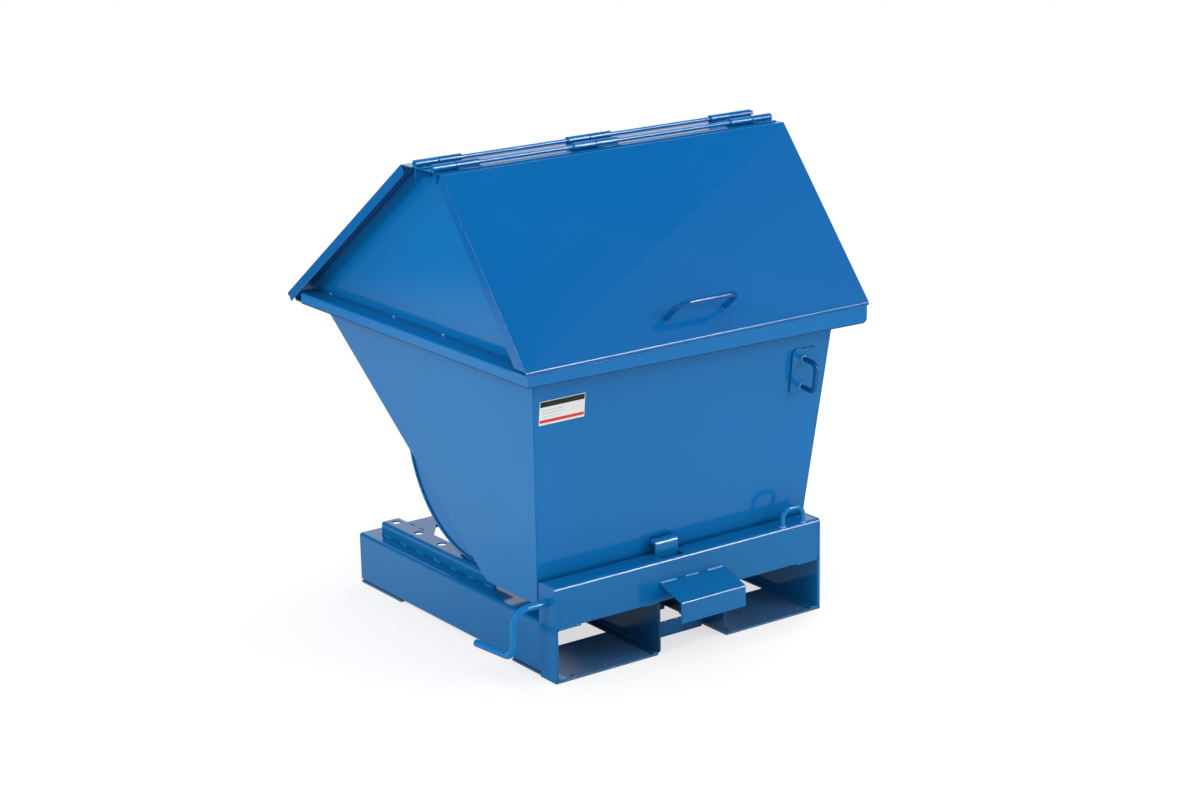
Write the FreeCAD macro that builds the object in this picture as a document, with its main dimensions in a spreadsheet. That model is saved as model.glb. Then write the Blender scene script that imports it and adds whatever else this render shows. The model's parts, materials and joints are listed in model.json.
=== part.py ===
import FreeCAD, Part
import math
import os
import re
import Sketcher

# A self-dumping forklift skip: a fork-pocket base, a hopper that rolls forward on two
# curved rockers, a two-leaf gable lid and a lever latch. Millimetres, +Z up, +Y is the
# tipping direction. Parts are drawn from the middle of the base on the ground, then all
# moved back by frame_middle so that the frame origin is under the middle of the whole.

SIZES = {
    # base
    "base_half_width": 400, "base_half_length": 442.5, "base_height": 134,
    "floor_thick": 5, "plate": 4, "bend": 8, "inner_bend": 4,
    "ledge_width": 70, "foot_width": 28,
    "inner_web_outside": 100, "inner_top_width": 50, "inner_foot_width": 25,
    "floor_inner_edge": 104, "floor_rear_length": 190.5, "floor_front_length": 192.5,
    "caster_across": 295, "caster_along": 357.5, "caster_pitch_across": 105,
    "caster_pitch_along": 140, "caster_hole_radius": 6.25,
    "strip_thick": 6, "strip_height": 38, "strip_rear": -352, "strip_middle": -200,
    "strip_front": 430,
    "beam_height": 102, "beam_length": 63.1, "end_plate_length": 65, "end_plate_round": 8,
    "slot_left": -81, "slot_right": -13, "slot_rear": -434, "slot_front": -399.5,
    "rail_outside": 356.9, "rail_width": 50.9, "rail_height": 33.5,
    "rail_rear": -127.5, "rail_front": 395.5, "rail_hole_radius": 12,
    "rail_hole_across": 328, "rail_hole_first": -61.5, "rail_hole_pitch": 107.85,
    "deck_front": 357.5, "deck_rear": 290.5, "deck_corner_rear": 227.5,
    "deck_corner_across": 258,
    "hood_half_width": 96, "hood_top": 181, "hood_fold": 156, "hood_foot": 103,
    "hood_reach": 85, "hood_drop": 4.22,
    "loop_left": 287, "loop_right": 351, "loop_top": 279, "loop_middle": -434.5,
    "loop_bar_radius": 6, "loop_bend": 24,
    "buffer_radius": 20, "buffer_across": 122, "buffer_along": -262,
    # latch
    "shaft_along": -409.7, "shaft_height": 193, "shaft_radius": 9, "running_gap": 0.05,
    "shaft_inner_end": -3, "lever_across": -491, "lever_low": 76, "lever_low_along": -402,
    "lever_end_along": -246, "lever_end_height": 66, "lever_bend": 38,
    "bracket_outer": -99, "bracket_inner": -8.5, "bracket_thick": 4, "bracket_height": 60,
    "hook_left": -80, "hook_right": -14, "hook_rear": -407, "hook_thick": 6,
    "hook_tip": -384, "hook_under": 265.5, "hook_top": 273, "hook_hub_radius": 14,
    "collar_radius": 15, "collar_width": 10, "collar_gap": 2,
    # hopper
    "sheet": 3, "hopper_bottom": 173.5, "hopper_top": 774,
    "half_width_at_ground": 382.456, "side_splay": 0.0811,
    "rear_at_ground": -344.81, "rear_lean": 0.12545,
    "slope_foot": -152.5, "slope_rise": 0.888, "weld_gap": 0.02, "seat_gap": 0.3,
    "rocker_radius": 296, "rocker_middle": -16, "rail_top": 167.5, "roll_gap": 0.05,
    "tread_thick": 6, "tread_inside": 316, "tread_width": 24,
    "web_inside": 331, "web_thick": 5,
    "peg_radius": 8, "peg_tip_radius": 5, "peg_reach": 10,
    "rim_outside": 496, "rim_inside": 445.5, "rim_depth": 28,
    "rim_right_depth": 43, "rim_corner": 13, "rim_front_end": 505,
    "rim_rear_edge": -501.1, "rim_rear_inner": -442.2, "rim_hole_radius": 4,
    "rim_hole_across": 467, "rim_hole_front": 175.5, "rim_hole_rear": -214.5,
    "lip_rear": 498.2, "lip_front": 542, "lip_bottom": 747, "lip_top": 766,
    "gable_outside": 445.4, "gable_thick": 3, "gable_rear": -499, "gable_front": 544,
    "gable_rear_foot": 781.6, "gable_front_foot": 775.7, "gable_top": 1168,
    "gable_top_rear": -184, "gable_top_front": 1.6,
    "ridge_rear": -142, "ridge_front": -50, "ridge_top": 1177, "ridge_depth": 27,
    "ridge_half_width": 490, "notch_gap": 0.1,
    "eye_across": 357, "eye_low": 584, "eye_high": 656, "eye_reach": 52,
    "eye_bar_radius": 6.5, "eye_bend": 16,
    "pad_left": 321, "pad_right": 392, "pad_low": 566, "pad_high": 676,
    "striker_left": -74, "striker_right": -20, "striker_low": 257, "striker_top": 265,
    "striker_rear": -397,
    "label_left": -418, "label_right": -292, "label_low": 627, "label_high": 685,
    "label_thick": 0.6,
    "stud_radius": 8, "stud_length": 6, "stud_outside": 415.5,
    # lids and their hinges
    "hinge_height": 1186, "rear_hinge": -136.5, "front_hinge": -62.5,
    "rod_radius": 5, "knuckle_radius": 9, "knuckle_length": 62, "knuckle_pitch": 64,
    "rear_knuckles_left": -498, "rear_knuckles_middle": -105, "rear_knuckles_right": 366,
    "front_knuckles_left": -498, "front_knuckles_middle": -70,
    "front_knuckles_right": 361, "leaf_thick": 3, "hem_depth": 7.2,
    "leaf_reach": 24, "rod_half_length": 496,
    "lid_half_width": 500.6, "lid_sheet": 2, "lid_top": 1177,
    "rear_flange_edge": -147.6, "rear_fold": -180, "rear_foot": -502.5,
    "rear_foot_height": 782, "rear_skirt_top": 22, "rear_skirt_foot": 37,
    "rear_skirt_cut": 785,
    "front_flange_edge": -49.4, "front_fold": -6.5, "front_foot": 564.2,
    "front_foot_height": 764.2, "front_skirt": 24.5,
    "handle_half_width": 86, "handle_from_edge": 62, "handle_reach": 71.5,
    "handle_bar_radius": 7, "handle_bend": 28,
    # whole
    "frame_middle": 18.35,
}

doc = FreeCAD.newDocument("ForkliftSkip")
sheet = doc.addObject("Spreadsheet::Sheet", "Sizes")
for row, (alias, number) in enumerate(SIZES.items(), start=1):
    sheet.set("A%d" % row, alias)
    sheet.set("B%d" % row, str(number))
    sheet.setAlias("B%d" % row, alias)
doc.recompute()

nodes = []
WORD = re.compile(r"[a-z_]+")


def size(alias):
    """The number the sheet holds for a name."""
    return float(sheet.get(alias))


def bound(text):
    """Point every size name in an expression at its cell in the sheet."""
    return WORD.sub(lambda word: "Sizes." + word.group(0)
                    if word.group(0) in SIZES else word.group(0), str(text))


def flip(text, side):
    """An expression on the right (+1) or mirrored to the left (-1)."""
    return "%d*(%s)" % (side, text)


def place(item, x=0.0, y=0.0, z=0.0, axis=(1, 0, 0), degrees=0.0):
    """Give a finished piece its place in the frame and count it as a node."""
    item.Placement = FreeCAD.Placement(
        FreeCAD.Vector(x, y - size("frame_middle"), z),
        FreeCAD.Rotation(FreeCAD.Vector(*axis), degrees))
    nodes.append(item)


def new_body(name):
    """An empty body that may hold several separate solids."""
    body = doc.addObject("PartDesign::Body", name)
    body.Label = name
    body.AllowCompound = True
    return body


def sketch(body, plane, start, outlines, circles):
    """A sketch of straight-sided outlines and circles, every size bound to the sheet."""
    drawing = body.newObject("Sketcher::SketchObject", body.Name + "_sketch")
    base = [part for part in body.Origin.OriginFeatures if part.Role == plane + "_Plane"][0]
    drawing.AttachmentSupport = [(base, "")]
    drawing.MapMode = "FlatFace"
    sign = -1 if plane == "XZ" else 1
    drawing.setExpression("AttachmentOffset.Base.z", bound(flip(start, sign)))

    def pin(kind, geometry, point, text):
        number = drawing.addConstraint(
            Sketcher.Constraint(kind, -1, 1, geometry, point, 1.0))
        drawing.setExpression("Constraints[%d]" % number, bound(text))

    for outline in outlines:
        count = len(outline)
        first = drawing.GeometryCount
        turn = 2 * math.pi / count
        ring = [FreeCAD.Vector(math.cos(turn * i), math.sin(turn * i), 0)
                for i in range(count)]
        for i in range(count):
            drawing.addGeometry(Part.LineSegment(ring[i], ring[(i + 1) % count]))
        for i, (across, up) in enumerate(outline):
            drawing.addConstraint(Sketcher.Constraint(
                "Coincident", first + i, 2, first + (i + 1) % count, 1))
            pin("DistanceX", first + i, 1, across)
            pin("DistanceY", first + i, 1, up)
    for across, up, radius in circles:
        number = drawing.addGeometry(Part.Circle(
            FreeCAD.Vector(1, 1, 0), FreeCAD.Vector(0, 0, 1), 1.0))
        pin("DistanceX", number, 3, across)
        pin("DistanceY", number, 3, up)
        round_one = drawing.addConstraint(Sketcher.Constraint("Radius", number, 1.0))
        drawing.setExpression("Constraints[%d]" % round_one, bound(radius))
    return drawing


def add(body, plane, start, length, outlines=(), circles=()):
    """Extrude a sketch along its axis from start, towards plus."""
    drawing = sketch(body, plane, start, outlines, circles)
    pad = body.newObject("PartDesign::Pad", body.Name + "_pad")
    pad.Profile = drawing
    pad.setExpression("Length", bound(length))
    pad.Reversed = plane == "XZ"
    drawing.Visibility = False
    doc.recompute()
    return pad


def cut(body, plane, start, depth, outlines=(), circles=()):
    """Cut a sketch into a body along its axis from start, towards minus."""
    before = body.Shape.Volume
    drawing = sketch(body, plane, start, outlines, circles)
    pocket = body.newObject("PartDesign::Pocket", body.Name + "_pocket")
    pocket.Profile = drawing
    pocket.setExpression("Length", bound(depth))
    pocket.Reversed = plane == "XZ"
    drawing.Visibility = False
    doc.recompute()
    if not body.Shape.Volume < before - 1.0:
        raise RuntimeError("the cut in %s removed nothing" % body.Label)
    return pocket


def soften(body, pad, corners, radius):
    """Round the long edges that stand on the given corners of a pad's sketch."""
    drawing = pad.Profile[0]
    to_part = drawing.Placement
    axis = to_part.Rotation.multVec(FreeCAD.Vector(0, 0, 1))
    spots = [to_part.multVec(drawing.Geometry[i].StartPoint) for i in corners]
    solid = body.Tip
    names = []
    for number, edge in enumerate(solid.Shape.Edges, start=1):
        ends = [vertex.Point for vertex in edge.Vertexes]
        if len(ends) != 2:
            continue
        along = ends[1].sub(ends[0])
        if along.Length < 0.1 or along.cross(axis).Length > 1e-6 * along.Length:
            continue
        for spot in spots:
            if ends[0].sub(spot).cross(axis).Length < 1e-4:
                names.append("Edge%d" % number)
    fillet = body.newObject("PartDesign::Fillet", body.Name + "_bend")
    fillet.Base = (solid, names)
    fillet.setExpression("Radius", bound(radius))
    doc.recompute()
    return fillet


def box(left, right, low, high):
    """The four corners of a rectangle."""
    return [(left, low), (right, low), (right, high), (left, high)]


def bent_rod(name, corners, radius, bend):
    """A round rod along straight runs with every corner bent to one radius."""
    points = [FreeCAD.Vector(*corner) for corner in corners]
    edges = []
    start = points[0]
    for before, corner, after in zip(points, points[1:], points[2:]):
        back = before.sub(corner).normalize()
        ahead = after.sub(corner).normalize()
        half = back.getAngle(ahead) / 2
        reach = bend / math.tan(half)
        enter = corner + back * reach
        leave = corner + ahead * reach
        middle = corner + (back + ahead).normalize() * (bend / math.sin(half) - bend)
        edges.append(Part.LineSegment(start, enter).toShape())
        edges.append(Part.Arc(enter, middle, leave).toShape())
        start = leave
    edges.append(Part.LineSegment(start, points[-1]).toShape())
    first_run = points[1].sub(points[0])
    ring = Part.Wire(Part.makeCircle(radius, points[0], first_run))
    item = doc.addObject("Part::Feature", name)
    item.Label = name
    item.Shape = Part.Wire(edges).makePipeShell([ring], True, False)
    return item


def rear_y(up):
    """Outer face of the hopper's leaning rear wall at a height."""
    return "(rear_at_ground-rear_lean*(%s))" % up


# ---------------------------------------------------------------- base frame
whole_length = "2*base_half_length"
for side, word in ((-1, "left"), (1, "right")):
    web = "(base_half_width-plate)"
    outline = [(web, "floor_thick"), (web, "base_height"),
               (web + "-ledge_width", "base_height"),
               (web + "-ledge_width", "base_height-plate"),
               (web + "-plate", "base_height-plate"),
               (web + "-plate", "floor_thick+plate"),
               (web + "-foot_width", "floor_thick+plate"),
               (web + "-foot_width", "floor_thick")]
    body = new_body("outer_channel_" + word)
    pad = add(body, "XZ", "-base_half_length", whole_length,
              [[(flip(a, side), b) for a, b in outline]])
    soften(body, pad, (0, 1), "bend")
    soften(body, pad, (4, 5), "inner_bend")
    place(body)

    web = "(inner_web_outside-plate)"
    outline = [(web, "floor_thick"), (web, "base_height"),
               (web + "+inner_top_width", "base_height"),
               (web + "+inner_top_width", "base_height-plate"),
               (web + "+plate", "base_height-plate"),
               (web + "+plate", "floor_thick+plate"),
               (web + "+inner_foot_width", "floor_thick+plate"),
               (web + "+inner_foot_width", "floor_thick")]
    body = new_body("inner_channel_" + word)
    pad = add(body, "XZ", "-base_half_length", whole_length,
              [[(flip(a, side), b) for a, b in outline]])
    soften(body, pad, (0, 1), "bend")
    soften(body, pad, (4, 5), "inner_bend")
    place(body)

    body = new_body("end_plate_" + word)
    rear = "-base_half_length"
    front = "-base_half_length+end_plate_length"
    top = "base_height+beam_height"
    start = "base_half_width-plate" if side > 0 else "-base_half_width"
    hole = [("shaft_along", "shaft_height", "shaft_radius+running_gap")]
    pad = add(body, "YZ", start, "plate", [box(rear, front, "0", top)],
              hole if side < 0 else ())
    soften(body, pad, (2, 3), "end_plate_round")
    place(body)

    for end, end_word, length in ((-1, "rear", "floor_rear_length"),
                                  (1, "front", "floor_front_length")):
        body = new_body("floor_plate_%s_%s" % (end_word, word))
        edge = flip("base_half_length", end)
        inner_edge = flip("base_half_length-%s" % length, end)
        outline = [(flip("floor_inner_edge", side), edge),
                   (flip("base_half_width-plate", side), edge),
                   (flip("base_half_width-plate", side), inner_edge),
                   (flip("floor_inner_edge", side), inner_edge)]
        holes = [(flip("caster_across", side) + "+%d*caster_pitch_across/2" % i,
                  flip("caster_along", end) + "+%d*caster_pitch_along/2" % j,
                  "caster_hole_radius") for i in (-1, 1) for j in (-1, 1)]
        add(body, "XY", "0", "floor_thick", [outline], holes)
        place(body)

    body = new_body("track_rail_" + word)
    outer = "rail_outside"
    inner = "(rail_outside-rail_width)"
    outline = [(outer, "base_height"), (outer, "base_height+rail_height"),
               (inner, "base_height+rail_height"),
               (inner, "base_height+rail_height-plate"),
               (outer + "-plate", "base_height+rail_height-plate"),
               (outer + "-plate", "base_height")]
    pad = add(body, "XZ", "rail_rear", "rail_front-rail_rear",
              [[(flip(a, side), b) for a, b in outline]])
    soften(body, pad, (1,), "bend")
    soften(body, pad, (4,), "inner_bend")
    holes = [(flip("rail_hole_across", side), "rail_hole_first+%d*rail_hole_pitch" % i,
              "rail_hole_radius") for i in range(5)]
    cut(body, "XY", "base_height+rail_height+1", "plate+3", (), holes)
    place(body)

for word in ("rear", "middle", "front"):
    body = new_body("cross_strip_" + word)
    inside = "(inner_web_outside-plate)"
    add(body, "XY", "0", "strip_height",
        [box("-" + inside, inside, "strip_%s-strip_thick/2" % word,
             "strip_%s+strip_thick/2" % word)])
    place(body)

body = new_body("rear_beam")
rear = "-base_half_length"
front = "-base_half_length+beam_length"
low = "base_height"
top = "(base_height+beam_height)"
outline = [(rear, low), (rear, top), (front, top), (front, low),
           (front + "-plate", low), (front + "-plate", top + "-plate"),
           (rear + "+plate", top + "-plate"), (rear + "+plate", low)]
pad = add(body, "YZ", "-base_half_width+plate", "2*(base_half_width-plate)", [outline])
soften(body, pad, (1, 2), "bend")
soften(body, pad, (5, 6), "inner_bend")
cut(body, "XY", top + "+1", "plate+3",
    [box("slot_left", "slot_right", "slot_rear", "slot_front")])
place(body)

body = new_body("deck_plate")
top = "base_height+rail_height"
across = "(rail_outside-rail_width)"
outline = [("-" + across, "deck_front"), ("-" + across, "deck_corner_rear"),
           ("-deck_corner_across", "deck_rear"), ("deck_corner_across", "deck_rear"),
           (across, "deck_corner_rear"), (across, "deck_front")]
add(body, "XY", top + "-plate", "plate", [outline])
lip = add(body, "YZ", "-" + across, "2*" + across,
          [box("deck_front-plate", "deck_front", "base_height", top)])
soften(body, lip, (2,), "inner_bend")
place(body)

body = new_body("rear_hood")
rear = "-base_half_length"
tip = "(-base_half_length-hood_reach)"
slant = "(hood_top-hood_fold)/hood_reach"
outline = [(rear, "hood_top"), (tip, "hood_fold"), (tip, "hood_foot"),
           (tip + "+plate", "hood_foot"),
           (tip + "+plate", "hood_fold+%s*plate-hood_drop" % slant),
           (rear, "hood_top-hood_drop")]
pad = add(body, "YZ", "-hood_half_width", "2*hood_half_width", [outline])
soften(body, pad, (1,), "bend-2")
soften(body, pad, (4,), "inner_bend-2")
place(body)

beam_top = size("base_height") + size("beam_height")
loop_y = size("loop_middle")
place(bent_rod("beam_loop",
               [(size("loop_left"), loop_y, beam_top),
                (size("loop_left"), loop_y, size("loop_top")),
                (size("loop_right"), loop_y, size("loop_top")),
                (size("loop_right"), loop_y, beam_top)],
               size("loop_bar_radius"), size("loop_bend")))

body = new_body("rest_buffers")
for side in (-1, 1):
    add(body, "XY", "base_height", "hopper_bottom-roll_gap-base_height", (),
        [(flip("buffer_across", side), "buffer_along", "buffer_radius")])
place(body)

body = new_body("shaft_brackets")
for start in ("bracket_outer", "bracket_inner"):
    add(body, "YZ", start, "bracket_thick",
        [box("-base_half_length+plate", "-base_half_length+beam_length-plate",
             "shaft_height-bracket_height/2", "shaft_height+bracket_height/2")],
        [("shaft_along", "shaft_height", "shaft_radius+running_gap")])
place(body)

# --------------------------------------------------------------------- latch
shaft_y = size("shaft_along")
shaft_z = size("shaft_height")
lever_x = size("lever_across")
place(bent_rod("latch_lever",
               [(size("shaft_inner_end"), shaft_y, shaft_z), (lever_x, shaft_y, shaft_z),
                (lever_x, size("lever_low_along"), size("lever_low")),
                (lever_x, size("lever_end_along"), size("lever_end_height"))],
               size("shaft_radius"), size("lever_bend")))

body = new_body("latch_hook")
add(body, "YZ", "hook_left", "hook_right-hook_left", (),
    [("shaft_along", "shaft_height", "hook_hub_radius"),
     ("shaft_along", "shaft_height", "shaft_radius")])
front = "hook_rear+hook_thick"
outline = [("hook_rear", "shaft_height+shaft_radius+1"), ("hook_rear", "hook_top"),
           ("hook_tip", "hook_top"), ("hook_tip", "hook_under"), (front, "hook_under"),
           (front, "shaft_height+shaft_radius+1")]
pad = add(body, "YZ", "hook_left", "hook_right-hook_left", [outline])
soften(body, pad, (1,), "bend+4")
soften(body, pad, (4,), "inner_bend+2")
soften(body, pad, (2,), "inner_bend-1")
place(body)

body = new_body("shaft_collar")
add(body, "YZ", "-base_half_width+plate+collar_gap", "collar_width", (),
    [("shaft_along", "shaft_height", "collar_radius"),
     ("shaft_along", "shaft_height", "shaft_radius")])
place(body)

# -------------------------------------------------------------- hopper sheets
splay = math.degrees(math.atan(size("side_splay")))
lean = math.degrees(math.atan(size("rear_lean")))
slope = math.degrees(math.atan(size("slope_rise")))
splay_long = "sqrt(1+side_splay^2)"
lean_long = "sqrt(1+rear_lean^2)"
slope_long = "sqrt(1+slope_rise^2)"
slope_end = "slope_foot+(hopper_top-hopper_bottom)/slope_rise"
side_inside = "(half_width_at_ground-sheet*%s-weld_gap)" % splay_long

for side, word in ((-1, "left"), (1, "right")):
    body = new_body("side_sheet_" + word)
    low = "hopper_bottom*" + splay_long
    high = "(hopper_top-seat_gap)*" + splay_long
    outline = [(rear_y("hopper_bottom"), low), ("slope_foot", low),
               (slope_end + "-seat_gap/slope_rise", high),
               (rear_y("(hopper_top-seat_gap)"), high)]
    add(body, "YZ", "-sheet" if side > 0 else "0", "sheet", [outline])
    place(body, x=side * size("half_width_at_ground"), axis=(0, 1, 0),
          degrees=side * splay)

body = new_body("rear_wall")
low = side_inside + "+side_splay*hopper_bottom"
high = side_inside + "+side_splay*hopper_top"
outline = [(flip(low, -1), "hopper_bottom*" + lean_long),
           (low, "hopper_bottom*" + lean_long),
           (high, "hopper_top*" + lean_long),
           (flip(high, -1), "hopper_top*" + lean_long)]
add(body, "XZ", "0", "sheet", [outline])
place(body, y=size("rear_at_ground"), degrees=lean)

body = new_body("slope_plate")
run = "(hopper_top-hopper_bottom)/slope_rise*" + slope_long
outline = [(flip(low, -1), "0"), (low, "0"), (high, run), (flip(high, -1), run)]
add(body, "XY", "0", "sheet", [outline])
place(body, y=size("slope_foot"), z=size("hopper_bottom"), degrees=slope)

body = new_body("floor_sheet")
rear = rear_y("hopper_bottom") + "+sheet+0.1"
add(body, "XY", "hopper_bottom", "sheet",
    [box(flip(low, -1), low, rear, "slope_foot-2.1")])
place(body)

# ------------------------------------------------------------------- rockers
centre_z = size("rail_top") + size("roll_gap") + size("rocker_radius")
centre_y = size("rocker_middle")
across = FreeCAD.Rotation(FreeCAD.Vector(0, 1, 0), 90)
up_slope = FreeCAD.Rotation(FreeCAD.Vector(1, 0, 0), slope)
slope_run = up_slope.multVec(FreeCAD.Vector(0, 1, 0))
slope_out = up_slope.multVec(FreeCAD.Vector(0, 0, -1))


def disc(name, start, radius, width):
    """A round disc across the skip about the rocker centre."""
    item = doc.addObject("Part::Cylinder", name)
    item.setExpression("Radius", bound(radius))
    item.setExpression("Height", bound(width))
    item.Placement = FreeCAD.Placement(FreeCAD.Vector(start, centre_y, centre_z), across)
    return item


def hopper_space(name, start):
    """The space above the underside of the slope, to cut the rockers against."""
    item = doc.addObject("Part::Box", name)
    item.Length = 100
    item.Width = 1200
    item.Height = 900
    corner = FreeCAD.Vector(start - 30, size("slope_foot"), size("hopper_bottom"))
    corner += slope_out * size("weld_gap") - slope_run * 200
    item.Placement = FreeCAD.Placement(corner, up_slope)
    return item


def peg_place(start, number):
    """Where a peg's foot stands on the inside of the tread, pointing outwards."""
    along = size("rail_hole_first") + number * size("rail_hole_pitch")
    angle = (along - centre_y) / size("rocker_radius")
    out = FreeCAD.Vector(0, math.sin(angle), -math.cos(angle))
    foot = FreeCAD.Vector(start, centre_y, centre_z)
    foot += out * (size("rocker_radius") - size("tread_thick"))
    turn = FreeCAD.Rotation(FreeCAD.Vector(0, 0, 1), out)
    return FreeCAD.Placement(foot, turn), out


def shank(name, start, number):
    """The straight part of a peg, through the tread."""
    item = doc.addObject("Part::Cylinder", name)
    item.setExpression("Radius", bound("peg_radius"))
    item.setExpression("Height", bound("tread_thick+peg_reach/2"))
    item.Placement = peg_place(start, number)[0]
    return item


def cut_from(name, blank, tool):
    """One solid less another."""
    item = doc.addObject("Part::Cut", name)
    item.Label = name
    item.Base = blank
    item.Tool = tool
    return item


pegs = []
for side, word in ((-1, "left"), (1, "right")):
    inside = size("tread_inside") if side > 0 else -size("tread_inside") - size("tread_width")
    ring = cut_from("tread_ring_" + word,
                    disc("tread_blank_" + word, inside, "rocker_radius", "tread_width"),
                    disc("tread_hollow_" + word, inside - 1, "rocker_radius-tread_thick",
                         "tread_width+2"))
    strip = cut_from("tread_strip_" + word, ring,
                     hopper_space("tread_space_" + word, inside))
    row = side * size("rail_hole_across")
    sockets = []
    for number in range(5):
        sockets.append(shank("socket_%s_%d" % (word, number), row, number))
        where, out = peg_place(row, number)
        body_part = shank("shank_%s_%d" % (word, number), row, number)
        tip = doc.addObject("Part::Cone", "tip_%s_%d" % (word, number))
        tip.setExpression("Radius1", bound("peg_radius"))
        tip.setExpression("Radius2", bound("peg_tip_radius"))
        tip.setExpression("Height", bound("peg_reach/2"))
        length = size("tread_thick") + size("peg_reach") / 2
        tip.Placement = FreeCAD.Placement(where.Base + out * length, where.Rotation)
        peg = doc.addObject("Part::Fuse", "peg_%s_%d" % (word, number))
        peg.Base = body_part
        peg.Tool = tip
        pegs.append(peg)
    socket_group = doc.addObject("Part::Compound", "sockets_" + word)
    socket_group.Links = sockets
    place(cut_from("rocker_tread_" + word, strip, socket_group))

    inside = size("web_inside") if side > 0 else -size("web_inside") - size("web_thick")
    web_blank = disc("web_blank_" + word, inside,
                     "rocker_radius-tread_thick-weld_gap", "web_thick")
    place(cut_from("rocker_web_" + word, web_blank,
                   hopper_space("web_space_" + word, inside)))

group = doc.addObject("Part::Compound", "rocker_pegs")
group.Label = "rocker_pegs"
group.Links = pegs
place(group)

# ------------------------------------------------------- rim, gables, ridge
for side, word in ((-1, "left"), (1, "right")):
    body = new_body("rim_" + word)
    outline = [("rim_inside", "hopper_top"), ("rim_outside", "hopper_top"),
               ("rim_outside", "hopper_top-rim_depth"),
               ("rim_outside-sheet", "hopper_top-rim_depth"),
               ("rim_outside-sheet", "hopper_top-sheet"),
               ("rim_inside", "hopper_top-sheet")]
    pad = add(body, "XZ", "rim_rear_inner", "rim_front_end-rim_rear_inner",
              [[(flip(a, side), b) for a, b in outline]])
    soften(body, pad, (1,), "inner_bend-1")
    holes = [(flip("rim_hole_across", side), along, "rim_hole_radius")
             for along in ("rim_hole_front", "rim_hole_rear")]
    cut(body, "XY", "hopper_top+1", "sheet+2", (), holes)
    place(body)

    body = new_body("gable_" + word)
    notch_low = "ridge_top-ridge_depth-notch_gap"
    notch_roof = "ridge_top-sheet-notch_gap"
    outline = [("gable_rear", "hopper_top"), ("gable_rear", "gable_rear_foot"),
               ("gable_top_rear", "gable_top"), ("ridge_rear-notch_gap", "gable_top"),
               ("ridge_rear-notch_gap", notch_low),
               ("ridge_rear+sheet+notch_gap", notch_low),
               ("ridge_rear+sheet+notch_gap", notch_roof),
               ("ridge_front-sheet-notch_gap", notch_roof),
               ("ridge_front-sheet-notch_gap", notch_low),
               ("ridge_front+notch_gap", notch_low),
               ("ridge_front+notch_gap", "gable_top"),
               ("gable_top_front", "gable_top"), ("gable_front", "gable_front_foot"),
               ("gable_front", "hopper_top")]
    start = "gable_outside-gable_thick" if side > 0 else "-gable_outside"
    add(body, "YZ", start, "gable_thick", [outline])
    place(body)

# The rear band is as deep as the side bands at the left and deeper at the right.
body = new_body("rim_rear")
add(body, "XY", "hopper_top-sheet", "sheet",
    [box("-rim_outside", "rim_outside", "rim_rear_edge", "rim_rear_inner")])
outline = [("-rim_outside", "hopper_top"), ("rim_outside", "hopper_top"),
           ("rim_outside", "hopper_top-rim_right_depth"),
           ("-rim_outside", "hopper_top-rim_depth")]
band = add(body, "XZ", "rim_rear_edge", "sheet", [outline])
for side in (-1, 1):
    start = "rim_outside-sheet" if side > 0 else "-rim_outside"
    add(body, "YZ", start, "sheet",
        [box("rim_rear_edge+sheet/2", "rim_rear_inner", "hopper_top-rim_depth",
             "hopper_top-sheet/2")])
soften(body, band, (2,), "rim_corner")
place(body)

body = new_body("rim_front")
outline = [("lip_rear", "lip_bottom"), ("lip_front", "lip_bottom"),
           ("lip_front", "lip_top"), ("lip_front-plate", "lip_top"),
           ("lip_front-plate", "lip_bottom+plate"), ("lip_rear", "lip_bottom+plate")]
pad = add(body, "YZ", "-rim_outside+sheet+0.1", "2*(rim_outside-sheet-0.1)", [outline])
soften(body, pad, (1,), "bend-2")
soften(body, pad, (4,), "inner_bend-2")
place(body)

body = new_body("ridge_channel")
low = "ridge_top-ridge_depth"
outline = [("ridge_rear", low), ("ridge_rear", "ridge_top"), ("ridge_front", "ridge_top"),
           ("ridge_front", low), ("ridge_front-sheet", low),
           ("ridge_front-sheet", "ridge_top-sheet"),
           ("ridge_rear+sheet", "ridge_top-sheet"), ("ridge_rear+sheet", low)]
pad = add(body, "YZ", "-ridge_half_width", "2*ridge_half_width", [outline])
soften(body, pad, (1, 2), "inner_bend-1")
place(body)

for word in ("rear", "front"):
    body = new_body("hinge_rod_" + word)
    add(body, "YZ", "-rod_half_length", "2*rod_half_length", (),
        [(word + "_hinge", "hinge_height", "rod_radius")])
    place(body)


def knuckles(name, hinge, shift, reach):
    """Three hinge tubes with a flat leaf each, reach giving the leaf's side."""
    tube_body = new_body(name)
    row = hinge.split("_")[0]
    for spot in ("left", "middle", "right"):
        where = "%s_knuckles_%s+%d*knuckle_pitch" % (row, spot, shift)
        add(tube_body, "YZ", where, "knuckle_length", (),
            [(hinge, "hinge_height", "knuckle_radius"),
             (hinge, "hinge_height", "rod_radius+running_gap")])
        under = "hinge_height-knuckle_radius"
        edge = "%s+%d*leaf_reach" % (hinge, reach)
        outline = [(hinge, under), (edge, under), (edge, under + "+leaf_thick"),
                   (hinge, under + "+leaf_thick")]
        add(tube_body, "YZ", where, "knuckle_length", [outline])
    place(tube_body)


knuckles("fixed_knuckles_rear", "rear_hinge", 0, 1)
knuckles("fixed_knuckles_front", "front_hinge", 0, -1)

# --------------------------------------------------- fittings on the rear wall
wall_rise = "*" + lean_long
body = new_body("eye_backing_plate")
pad = add(body, "XZ", "-plate-weld_gap", "plate",
          [box("pad_left", "pad_right", "pad_low" + wall_rise, "pad_high" + wall_rise)])
soften(body, pad, (0, 1, 2, 3), "bend-2")
place(body, y=size("rear_at_ground"), degrees=lean)

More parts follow.
